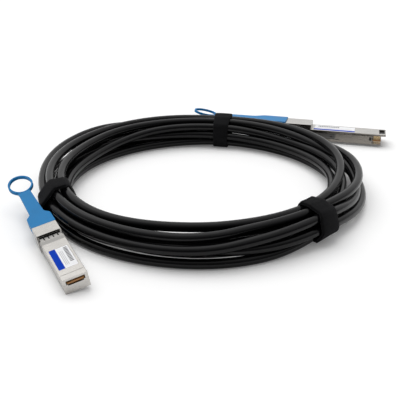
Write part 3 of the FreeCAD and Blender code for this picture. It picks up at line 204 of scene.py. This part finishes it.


def plated_metal(name, color, roughness, shade=None, flanks=1.0):
    """Satin nickel over a die casting: faint wipe marks and cloudy roughness; upright faces painted darker and
    browner as painted shade, and a shade mask's places painted near black.
    """
    shader = Shader(name, color, roughness, metallic=1.0)
    dark, light = varied(color, 0.05)
    paint = shader.mix(shader.ramp(shader.noise(0.12, 5), *CLOUDS), dark, light)
    # Upright faces are painted darker and browner by their facing: painted shade standing in for the darker
    # reflection they show.
    if flanks < 1:
        facing = shader.node("ShaderNodeSeparateXYZ")
        shader.link(shader.node("ShaderNodeNewGeometry").outputs["Normal"], facing.inputs["Vector"])
        upright = shader.ramp(facing.outputs["Z"], 0.3, 0.8, 1.0, 0.0)
        browner = (flanks, flanks * 0.95, flanks * 0.9)
        paint = shader.mix(upright, paint, [c * f for c, f in zip(color, browner)])
    # Where a shade mask calls for it, the metal is painted near black: painted shade.
    if shade:
        paint = shader.mix(shade(shader), paint, PAINTED_SHADE)
    shader.paint(paint)
    wipe = shader.noise(0.35, 3, where=shader.coordinates((0.3, 1.6, 1.6)))
    shader.rough(shader.ramp(wipe, *SMEARS, roughness - 0.03, roughness + 0.05))
    return shader.bump((shader.noise(4.5, 4), 0.0012), edge=0.16).material


def stamped_metal(name, color, roughness):
    """Rolled sheet: straight grain along its length."""
    shader = Shader(name, color, roughness, metallic=1.0)
    grain = shader.noise(2.0, 4, where=shader.coordinates((0.15, 3.0, 3.0)))
    dark, light = varied(color, 0.1)
    shader.paint(shader.mix(shader.ramp(grain, *SMEARS), dark, light))
    shader.rough(shader.ramp(grain, *SMEARS, roughness - 0.05, roughness + 0.08))
    return shader.bump((grain, 0.003), edge=0.1).material


def moulded_plastic(name, color, roughness, texture=0.01, edge=0.3, specular=0.5):
    """Injection-moulded plastic: a fine spark-eroded texture and slightly uneven gloss."""
    shader = Shader(name, color, roughness, specular=specular)
    cloud = shader.noise(0.08, 4)
    dark, light = varied(color, 0.06)
    shader.paint(shader.mix(shader.ramp(cloud, *CLOUDS), dark, light))
    shader.rough(shader.ramp(cloud, *SMEARS, roughness - 0.04, roughness + 0.05))
    return shader.bump((shader.noise(5.0, 3), texture), edge=edge).material


def cable_jacket():
    """Extruded black jacket: satin, with handling marks and a slightly uneven surface."""
    shader = Shader("cable_jacket_black", (0.004, 0.004, 0.005), 0.2, specular=0.25)
    cloud = shader.ramp(shader.noise(0.05, 5), 0.35, 0.7)
    shader.paint(shader.mix(cloud, (0.002, 0.002, 0.0025), (0.0045, 0.0045, 0.005)))
    shader.rough(shader.ramp(shader.noise(0.6, 6), *SMEARS, 0.13, 0.24))
    return shader.bump((shader.noise(0.15, 2), 0.004)).material


def tie_fabric():
    """Hook-and-loop strap: matte black pile."""
    shader = Shader("tie_pile_black", (0.008, 0.008, 0.009), 0.95, specular=0.12)
    shader.bsdf.inputs["Sheen Weight"].default_value = 0.05
    shader.bsdf.inputs["Sheen Roughness"].default_value = 0.5
    shader.bsdf.inputs["Sheen Tint"].default_value = (0.5, 0.5, 0.52, 1)
    loops = shader.noise(2.6, 5, 0.7)
    shader.paint(shader.mix(shader.ramp(loops, *CLOUDS), (0.003, 0.003, 0.0035), (0.011, 0.011, 0.012)))
    return shader.bump((loops, 0.25)).material


PAPER, BLUE, INK = (0.88, 0.885, 0.90), (0.001, 0.045, 0.46), (0.04, 0.04, 0.05)
# The printed places on the labels, as spans of x and y in each plug's own frame, in millimetres.
SMALL_PRINT = {
    "field": ((-30, -9), (-6, -1.75)),
    "bars": ((-28.6, -13.5), (2.3, 4.3)),
    "rules": [((-26, -12), (y, y + 0.3)) for y in (-0.7, 0.1, 0.9)],
}
WIDE_PRINT = {
    "field": ((-56, -23), (-8, -3.9)),
    "bars": ((-52, -36), (2.4, 6.0)),
    "rules": [((-53, -26), (y, y + 0.35)) for y in (-2.6, -1.4, -0.2)],
}
BARS_A_MM = 0.72
BAR_INK, RULE_INK = 0.85, 0.45


def label_film(name, plug, piece, prints):
    """A printed film with no words on it: a blue field, a block of bars and thin rules."""
    shader = Shader(name, PAPER, 0.45, specular=0.03)
    place = shader.local(plug, nodes[piece])
    paint = shader.mix(shader.patch(place, *prints["field"]), PAPER, BLUE)
    stripes = shader.math("FRACT", shader.math("MULTIPLY", place["X"], BARS_A_MM))
    bars = shader.math("MULTIPLY", shader.patch(place, *prints["bars"]), shader.ramp(stripes, 0.3, 0.4))
    paint = shader.mix(shader.math("MULTIPLY", bars, BAR_INK), paint, INK)
    for x, y in prints["rules"]:
        rule = shader.patch(place, x, y, 0.1)
        paint = shader.mix(shader.math("MULTIPLY", rule, RULE_INK), paint, INK)
    return shader.paint(paint).bump((shader.noise(5.0, 2), 0.001)).material


def card_board(name, plug, piece, pads_back):
    """Glass-fibre board under solder mask, bare and browner in front of where its pads begin."""
    shader = Shader(name, (0.05, 0.14, 0.07), 0.38)
    place = shader.local(plug, nodes[piece])
    bare = shader.ramp(place["X"], pads_back - 0.15, pads_back + 0.15)
    shader.paint(shader.mix(bare, (0.03, 0.11, 0.055), (0.42, 0.19, 0.055)))
    return shader.bump((shader.noise(5.0, 3), 0.004)).material


def groove_shade(shader):
    """The deep groove in front of the small plug's head and the shell under the spring collar, painted near black
    as painted shade, so the groove and the gaps between the collar's fingers read dark.
    """
    place = shader.local(SFP, nodes["sfp_top_shell"])
    groove = shader.within(place["X"], -47.45, -42.2, 0.03)
    upper = shader.ramp(place["Z"], 6.2, 6.4)
    return shader.math("MULTIPLY", groove, upper)


# The wide plug's flanks: the seam under the cover and three small slots, painted dark as painted shade, as spans
# of x and z.
FLANK_AT = 8.6  # anything further from the middle is a flank
FLANK_SLOTS = [
    ((-25, -5), (6.9, 7.5)),
    ((-12.2, -10.4), (3.2, 5.9)),
    ((-38.6, -37.5), (3.4, 6.2)),
    ((-36.4, -35.4), (3.4, 6.2)),
]


def flank_shade(shader, piece):
    """Painted shade on the wide plug's flanks: their rear, painted darker as painted reflection of the dark coil,
    the seam under the cover and the small slots.
    """
    place = shader.local(QSFP, nodes[piece])
    flank = shader.math("GREATER_THAN", shader.math("ABSOLUTE", place["Y"]), FLANK_AT)
    # The rear of each flank is painted darker: painted reflection of the dark coil beside it.
    rear = shader.ramp(place["X"], -50, -40, 0.82, 0.0)
    under_cover = shader.ramp(place["Z"], 7.9, 8.1, 1.0, 0.0)
    dark = shader.math("MULTIPLY", rear, under_cover)
    # The seam and the slots are painted dark: painted shade.
    for x, z in FLANK_SLOTS:
        slot = shader.math("MULTIPLY", shader.within(place["X"], *x), shader.within(place["Z"], *z))
        dark = shader.math("MAXIMUM", dark, shader.math("MULTIPLY", slot, 0.9))
    return shader.math("MULTIPLY", flank, dark)


def nose_shade(shader):
    """The recess behind the wide plug's lip, painted near black as painted shade, and the flanks' painted shade.
    """
    place = shader.local(QSFP, nodes["qsfp_top_shell"])
    floor = shader.ramp(place["Z"], 7.45, 7.55, 1.0, 0.0)
    recess = shader.math("MULTIPLY", shader.patch(place, (-4.95, -0.85), (-6.75, 6.75), 0.05), floor)
    return shader.math("MAXIMUM", recess, flank_shade(shader, "qsfp_top_shell"))


def bottom_shade(shader):
    """The painted shade of the flanks on the wide plug's lower shell."""
    return flank_shade(shader, "qsfp_bottom_shell")


NICKEL = (0.62, 0.60, 0.57)
TAB_BLUE = (0.010, 0.20, 0.48)
# How bright the wide plug's upright faces are painted, as painted shade.
PAINTED_FLANK_SHADE = 0.46
SFP_PADS_BACK, QSFP_PADS_BACK = -3.9, -9.6
MATERIALS = {
    "plating": plated_metal("nickel_plating", NICKEL, 0.24),
    "spring_metal": stamped_metal("spring_sheet", (0.72, 0.70, 0.67), 0.22),
    "latch_metal": stamped_metal("latch_sheet", (0.60, 0.58, 0.56), 0.26),
    "screw_metal": stamped_metal("screw_steel", (0.42, 0.42, 0.43), 0.34),
    "crimp_metal": stamped_metal("crimp_brass", (0.62, 0.50, 0.30), 0.32),
    "gold": stamped_metal("gold_flash", (0.86, 0.58, 0.20), 0.26),
    "chip": moulded_plastic("chip_resin", (0.02, 0.02, 0.022), 0.5, edge=0.05),
    "wire_jacket": moulded_plastic("wire_foil", (0.45, 0.48, 0.55), 0.35, edge=0.0),
    "boot_rubber": moulded_plastic("boot_black", (0.010, 0.010, 0.011), 0.45, texture=0.02),
    "tab_plastic": moulded_plastic("tab_blue", TAB_BLUE, 0.4, texture=0.005, specular=0.14),
    "cable_jacket": cable_jacket(),
    "tie_fabric": tie_fabric(),
}
OWN = {
    "sfp_top_shell": plated_metal("nickel_small_top", NICKEL, 0.24, groove_shade),
    "qsfp_top_shell": plated_metal("nickel_wide_top", NICKEL, 0.22, nose_shade, PAINTED_FLANK_SHADE),
    "qsfp_bottom_shell": plated_metal("nickel_wide_bottom", NICKEL, 0.26, bottom_shade, PAINTED_FLANK_SHADE),
    # The latch slider is painted near black: painted reflection of the dark coil, as on the flanks' rear.
    "qsfp_latch_slider": stamped_metal("latch_arm_painted_dark", (0.15, 0.145, 0.14), 0.3),
    "sfp_emi_collar": stamped_metal("spring_collar", (0.38, 0.37, 0.355), 0.4),
    "sfp_label": label_film("small_label", SFP, "sfp_label", SMALL_PRINT),
    "qsfp_label": label_film("wide_label", QSFP, "qsfp_label", WIDE_PRINT),
    "sfp_paddle_card": card_board("small_card", SFP, "sfp_paddle_card", SFP_PADS_BACK),
    "qsfp_paddle_card": card_board("wide_card", QSFP, "qsfp_paddle_card", QSFP_PADS_BACK),
}
for part in record["subparts"]:
    skin = nodes[part["node"]].data.materials
    skin.clear()
    skin.append(OWN.get(part["node"]) or MATERIALS[part["material_slot"]])

# ---------------------------------------------------------------- the cable

CABLE = 5.6 * MM
POINTS_A_TURN = 36
LEFT, BACK, RIGHT = 197.0, 80.0, 316.0  # the ties
FULL_TURNS, END_ANGLE = 8, 122.0
END_PLACE = (106.4, 4.6)
SFP_ROUTE = [  # from the small plug's boot into the coil
    (-91.4, -65.5, 7.4),
    (-95.0, -58.3, 7.7),
    (-96.4, -50.4, 7.8),
    (-95.4, -42.2, 7.9),
]
QSFP_ROUTE = [  # from the wide plug's boot into the coil
    (52.1, 113.9, 5.2),
    (38.5, 117.3, 5.2),
    (23.0, 118.0, 3.8),
    (5.5, 116.2, 3.4),
    (-11.5, 111.0, 4.0),
]
# Where the turns pass each angle round the coil, in the order they are wound: radius and height in mm.
LAY = {
    LEFT: [(95.8, 8.8), (88.8, 8.6), (91.8, 12), (97, 17), (91, 16.8), (101.8, 11.8), (95.4, 3),
           (89.8, 3.6), (100.8, 5.2)],
    152: [(96.2, 6.8), (86.2, 9.4), (95.2, 12.4), (99.6, 17.8), (90.6, 17.2), (107.4, 16.8), (93.6, 3.2),
          (87.8, 3.4), (103.4, 7.4)],
    135: [(93.6, 8.6), (87.4, 11), (98.8, 12.2), (100.2, 18.2), (92.6, 17.8), (107.8, 18), (93, 3.2),
          (87.2, 3.2), (105.4, 5.6)],
    115: [(89, 9.6), (88, 14), (100.8, 12.2), (100, 18.6), (93, 18.2), (107.4, 14.6), (92.6, 3.2),
          (86.8, 3.2)],
    BACK: [(85.6, 9.6), (87.6, 15), (101.2, 11.8), (99.2, 17.6), (93.4, 18), (97.8, 5.8), (92.2, 4.4),
           (86.4, 4)],
    45: [(87.4, 8.8), (91.2, 12.2), (103.8, 11), (97.4, 18.2), (91.6, 17.6), (100.6, 5.2), (94.8, 3.8),
         (89.2, 3)],
    12: [(87.2, 9), (92.4, 12.2), (102.8, 14.2), (91.8, 17.6), (97.8, 13.2), (103, 6.4), (94.6, 6.4),
         (89.4, 3)],
    345: [(84.8, 9.8), (91.2, 10.8), (98.6, 15.2), (86.4, 15.8), (98.2, 9.6), (101.9, 5.6), (87.6, 4.6),
          (93.2, 3.2)],
    RIGHT: [(88, 10.4), (94, 10.6), (91.5, 16.4), (85.6, 16), (97, 15.4), (99.4, 10), (88.8, 5.2),
            (94.2, 5.2)],
    288: [(88, 9.8), (93.8, 9.6), (91.2, 16), (85.6, 16.2), (99.6, 12.8), (100, 8.6), (91.2, 3.8),
          (99.8, 3)],
    268: [(87.2, 8), (92.8, 9), (98, 15.4), (84.9, 15.2), (103, 9.8), (97.8, 8.6), (91.6, 3.2),
          (101.8, 3.1)],
    228: [(88.2, 8), (93, 10.4), (97, 15.3), (91.3, 15.9), (102, 10), (97.8, 5.8), (92, 3.4),
          (101.6, 3.2)],
}
SPLINE_INSIDE = 1.0025  # the spline runs this little inside its control points
# What holds the turns in, in millimetres and degrees.
INNERMOST, OUTERMOST, HIGHEST = 82.6, 110, 18.6
TIE_LIFT, TIE_DROP, TIE_SPREAD = 1.6, 1.3, 9.0  # a tie draws the turns together in height
TAB_ANGLE, TAB_ROOM, TAB_SPREAD = 213, 9.2, 14.0  # the small plug's tab slides past here
PUSHES = 240
PUSH_SHARE, EASE_SHARE = 0.25, 0.3
APART = 1.02  # diameters between neighbouring turns
SLOW_TURN = 0.35  # how much of its slope a radius or height keeps where it turns back


def passes():
    """Every passage of a laid place as (degrees wound so far, radius, height), in order."""
    end = LEFT - END_ANGLE + 360 * FULL_TURNS
    found = []
    for angle, places in LAY.items():
        for turn, (radius, high) in enumerate(places):
            found.append(((LEFT - angle) % 360 + 360 * turn, radius * MM, high * MM))
    found = sorted(p for p in found if p[0] < end)
    return found + [(end, END_PLACE[0] * MM, END_PLACE[1] * MM)]


def coil_line():
    """Control points of the turns, eased from place to place and then pushed apart."""
    stops = np.array(passes())
    count = int(stops[-1, 0] / 360 * POINTS_A_TURN) + 1
    wound = np.linspace(0, stops[-1, 0], count)
    radius, high = (smooth(wound, stops[:, 0], stops[:, i]) for i in (1, 2))
    ease_apart(radius, high, LEFT - wound)
    angle = np.radians(LEFT - wound)
    radius = radius * SPLINE_INSIDE
    return np.column_stack((radius * np.cos(angle), radius * np.sin(angle), high))


def smooth(x, stops, values):
    """A cubic through the values, without overshoot."""
    steps = np.diff(values) / np.diff(stops)
    slopes = np.concatenate(([0], (steps[:-1] + steps[1:]) / 2, [0]))
    turning = np.concatenate(([True], steps[:-1] * steps[1:] <= 0, [True]))
    slopes[turning] *= SLOW_TURN
    i = np.clip(np.searchsorted(stops, x) - 1, 0, len(steps) - 1)
    long = stops[i + 1] - stops[i]
    u = (x - stops[i]) / long
    lead, tail = u * (1 - u) ** 2 * long * slopes[i], u * u * (1 - u) * long * slopes[i + 1]
    ease = u * u * (3 - 2 * u)
    return values[i] + ease * (values[i + 1] - values[i]) + lead - tail


def near(angle, place, spread):
    """1 at a place round the coil, falling to 0 on both sides of it."""
    away = (angle - place + 180) % 360 - 180
    return np.exp(-((away / spread) ** 2))


def ease_apart(radius, high, angle):
    """Pushes turns that lie in each other apart, above the floor and inside the outline."""
    count = len(radius)
    tied = np.max([near(angle, tie, TIE_SPREAD) for tie in (LEFT, BACK, RIGHT)], axis=0)
    floor = CABLE / 2 + TIE_LIFT * MM * tied
    roof = (HIGHEST - TIE_DROP * tied) * MM
    reach = (OUTERMOST - TAB_ROOM * near(angle, TAB_ANGLE, TAB_SPREAD)) * MM
    laid = radius.copy(), high.copy()
    for _ in range(PUSHES):
        for turns in range(POINTS_A_TURN, count, POINTS_A_TURN):
            dx = radius[turns:] - radius[:-turns]
            dz = high[turns:] - high[:-turns]
            gap = np.hypot(dx, dz)
            push = np.clip(CABLE * APART - gap, 0, None) * PUSH_SHARE / np.maximum(gap, 1e-5)
            radius[turns:] += dx * push
            radius[:-turns] -= dx * push
            high[turns:] += dz * push
            high[:-turns] -= dz * push
        for now, first in zip((radius, high), laid):
            moved = now - first
            now[1:-1] += EASE_SHARE * ((moved[:-2] + moved[2:]) / 2 - moved[1:-1])
        np.clip(radius, INNERMOST * MM, reach, out=radius)
        np.clip(high, floor, roof, out=high)


def make_cable():
    """The whole cable on one smooth spline, from one boot to the other."""
    lead = [Vector(p) * MM for p in SFP_ROUTE]
    tail = [Vector(p) * MM for p in reversed(QSFP_ROUTE)]
    points = lead + [Vector(p) for p in coil_line()] + tail
    curve = bpy.data.curves.new("cable", "CURVE")
    curve.dimensions = "3D"
    curve.bevel_depth = CABLE / 2
    curve.bevel_resolution = 6
    curve.use_fill_caps = True
    spline = curve.splines.new("NURBS")
    spline.points.add(len(points) - 1)
    for place, point in zip(points, spline.points):
        point.co = (*place, 1)
    spline.order_u = 3
    spline.use_endpoint_u = True
    spline.resolution_u = 6
    cable = bpy.data.objects.new("cable", curve)
    bpy.context.scene.collection.objects.link(cable)
    curve.materials.append(MATERIALS["cable_jacket"])
    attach(cable, ROOT)
    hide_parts("cable_coil", "sfp_cable_tail", "qsfp_cable_tail")
    return np.array(points)


# ---------------------------------------------------------------- the ties

MEAN_RADIUS = 94.2 * MM
COIL_EDGE = 108 * MM  # the cable further out than this is a lead to a plug
FLOOR_GAP = 0.2 * MM
# Round one cross-section of the strap: across it (-1 to 1) and out from the turns (in millimetres).
STRAP = [(-0.95, 0.1), (-1, 0.5), (-0.98, 1.0), (-0.88, 1.3), (-0.45, 1.42), (0, 1.45), (0.45, 1.42),
         (0.88, 1.3), (0.98, 1.0), (1, 0.5), (0.95, 0.1), (0, 0.1)]
RING_STEPS, LAP_STEPS = 96, 40
LAP_LIFT, LAP_THIN, LAP_NARROW = 1.15, 0.7, 0.96  # the loose end over the layer under it


def crossings(line, degrees):
    """Where the cable passes an angle round the coil: its radius and height there."""
    spot = line[:, 0] + 1j * line[:, 1]  # seen from above, then turned until the angle is 0
    turned = np.degrees(np.angle(spot * np.exp(-1j * math.radians(degrees))))
    found = []
    for a, b, p, q in zip(turned[:-1], turned[1:], line[:-1], line[1:]):
        if abs(a - b) < 90 and (a > 0) != (b > 0):
            x, y, z = p + (q - p) * a / (a - b)
            if math.hypot(x, y) < COIL_EDGE:
                found.append((math.hypot(x, y), z))
    return np.array(found)


def strap_layer(line, centre, wide, skew, rings, shape):
    """Adds rings of points round the bundle, each a cross-section of the strap.

    A ring is its direction out from the bundle, its lift off the turns in millimetres and how much
    of the strap's thickness it has.
    """
    verts, faces = shape
    start, size, count = len(verts), len(STRAP), len(rings)
    half = math.degrees(wide / 2 * MM / MEAN_RADIUS)
    sections = {across: crossings(line, centre + across * half) for across in {s for s, _ in STRAP}}
    for angle, lift, thickness in rings:
        out = np.array((math.cos(angle), math.sin(angle)))
        lean = skew[0] * out[0] + skew[1] * out[1]
        for across, rise in STRAP:
            turns = sections[across]
            spot = turns[np.argmax(turns @ out)] + out * (CABLE / 2 + (rise * thickness + lift) * MM)
            place = math.radians(centre + across * half + lean)
            verts.append((spot[0] * math.cos(place), spot[0] * math.sin(place), max(spot[1], FLOOR_GAP)))
    closed = count == RING_STEPS
    for i in range(count if closed else count - 1):
        for j in range(size):
            a, b = start + i * size, start + (i + 1) % count * size
            k = (j + 1) % size
            faces.append((a + j, a + k, b + k, b + j))
    if not closed:
        faces.append([start + j for j in reversed(range(size))])
        faces.append([start + (count - 1) * size + j for j in range(size)])


def make_tie(name, line, centre, wide, skew, lap):
    """A hook-and-loop strap drawn tight round the turns, with its loose end lapped over itself.

    centre, skew and lap are in degrees: its place round the coil, how far it leans there to the side
    and upwards, and the directions round the bundle between which the loose end lies.
    """
    verts, faces = [], []
    around = [(2 * math.pi * i / RING_STEPS, 0, 1) for i in range(RING_STEPS)]
    strap_layer(line, centre, wide, skew, around, (verts, faces))
    first, last = (math.radians(a) for a in lap)
    loose = [(first + (last - first) * i / (LAP_STEPS - 1), LAP_LIFT * min(1, 0.25 + i / 3), LAP_THIN)
             for i in range(LAP_STEPS)]
    strap_layer(line, centre, wide * LAP_NARROW, skew, loose, (verts, faces))
    mesh = bpy.data.meshes.new(name + "_strap")
    mesh.from_pydata(verts, [], faces)
    mesh.polygons.foreach_set("use_smooth", [True] * len(mesh.polygons))
    shape = bmesh.new()
    shape.from_mesh(mesh)
    bmesh.ops.recalc_face_normals(shape, faces=shape.faces)
    shape.to_mesh(mesh)
    shape.free()
    mesh.materials.append(MATERIALS["tie_fabric"])
    tie = bpy.data.objects.new(name + "_strap", mesh)
    bpy.context.scene.collection.objects.link(tie)
    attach(tie, ROOT)
    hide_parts(name)


TIES = {
    "tie_left": (LEFT + 4.0, 13.5, (2.5, 1.5), (110, -60)),
    "tie_back": (BACK + 0.3, 12.5, (0, 0), (70, -80)),
    "tie_right": (RIGHT - 1.2, 13.5, (-1.0, 0), (120, -50)),
}
line = make_cable()
for name, (centre, wide, skew, lap) in TIES.items():
    make_tie(name, line, centre, wide, skew, lap)

# ---------------------------------------------------------------- camera, light and floor

CAMERA_AT = (-0.0014, -0.4211, 0.1854)
CAMERA_DOWN = 24.5  # degrees
SENSOR, LENS = 36, 62.7
WHITE = (1, 1, 1, 1)
FLOOR_WHITE = (0.93, 0.93, 0.93)
FLOOR_GLOW = 0.12  # only where the camera sees the floor directly
FLOOR_HALF = 4.0
OVERHEAD = (-0.25, 0.35, 1.0)
SOFTNESS = math.radians(60)
LIGHTEST = (0, 0.62, 0.78)  # the surround is lightest in this direction
SURROUND = {"From Min": -0.3, "From Max": 0.95, "To Min": 0.08, "To Max": 0.86}


def make_camera():
    """The photograph's viewpoint, looking a little down on the coil."""
    camera = bpy.data.objects.new("camera", bpy.data.cameras.new("camera"))
    bpy.context.scene.collection.objects.link(camera)
    camera.data.sensor_width = SENSOR
    camera.data.lens = LENS
    camera.data.clip_start, camera.data.clip_end = 0.01, 20
    camera.location = CAMERA_AT
    camera.rotation_euler = (math.radians(90 - CAMERA_DOWN), 0, 0)
    bpy.context.scene.camera = camera


def make_sun(name, energy, mirrored):
    """Broad light from overhead, which metal and gloss mirror or not."""
    light = bpy.data.lights.new(name, "SUN")
    light.energy = energy
    light.angle = SOFTNESS
    sun = bpy.data.objects.new(name, light)
    bpy.context.scene.collection.objects.link(sun)
    sun.visible_glossy = mirrored
    sun.location = OVERHEAD
    sun.rotation_euler = (-Vector(OVERHEAD)).to_track_quat("-Z", "Y").to_euler()


def make_world():
    """A pale surround, lighter overhead and behind than low in front; white where it is seen directly."""
    world = bpy.data.worlds.new("studio")
    bpy.context.scene.world = world
    world.use_nodes = True
    tree = world.node_tree
    back = tree.nodes["Background"]
    path = tree.nodes.new("ShaderNodeLightPath")
    place = tree.nodes.new("ShaderNodeTexCoord")
    toward = tree.nodes.new("ShaderNodeVectorMath")
    toward.operation = "DOT_PRODUCT"
    toward.inputs[1].default_value = LIGHTEST
    rise = tree.nodes.new("ShaderNodeMapRange")
    rise.interpolation_type = "SMOOTHSTEP"
    for limit, value in SURROUND.items():
        rise.inputs[limit].default_value = value
    strength = tree.nodes.new("ShaderNodeMix")
    strength.data_type = "FLOAT"
    seen, dim, white = strength.inputs[0], strength.inputs[2], strength.inputs[3]
    white.default_value = 1.0
    tree.links.new(place.outputs["Generated"], toward.inputs[0])
    tree.links.new(toward.outputs["Value"], rise.inputs["Value"])
    tree.links.new(rise.outputs["Result"], dim)
    tree.links.new(path.outputs["Is Camera Ray"], seen)
    back.inputs["Color"].default_value = WHITE
    tree.links.new(strength.outputs[0], back.inputs["Strength"])


def make_floor():
    """A wide matte floor that keeps the object's shadow."""
    mesh = bpy.data.meshes.new("floor")
    corners = [(-1, -1), (1, -1), (1, 1), (-1, 1)]
    mesh.from_pydata([(x * FLOOR_HALF, y * FLOOR_HALF, 0) for x, y in corners], [], [(0, 1, 2, 3)])
    floor = bpy.data.objects.new("floor", mesh)
    bpy.context.scene.collection.objects.link(floor)
    shader = Shader("floor_white", FLOOR_WHITE, 0.9, specular=0.0)
    path = shader.node("ShaderNodeLightPath")
    glow = shader.math("MULTIPLY", path.outputs["Is Camera Ray"], FLOOR_GLOW)
    shader.bsdf.inputs["Emission Color"].default_value = WHITE
    shader.link(glow, shader.bsdf.inputs["Emission Strength"])
    mesh.materials.append(shader.material)


make_camera()
make_world()
make_floor()
make_sun("overhead", 0.9, mirrored=False)
make_sun("overhead_gloss", 0.45, mirrored=True)
bpy.context.scene.view_settings.view_transform = "Standard"
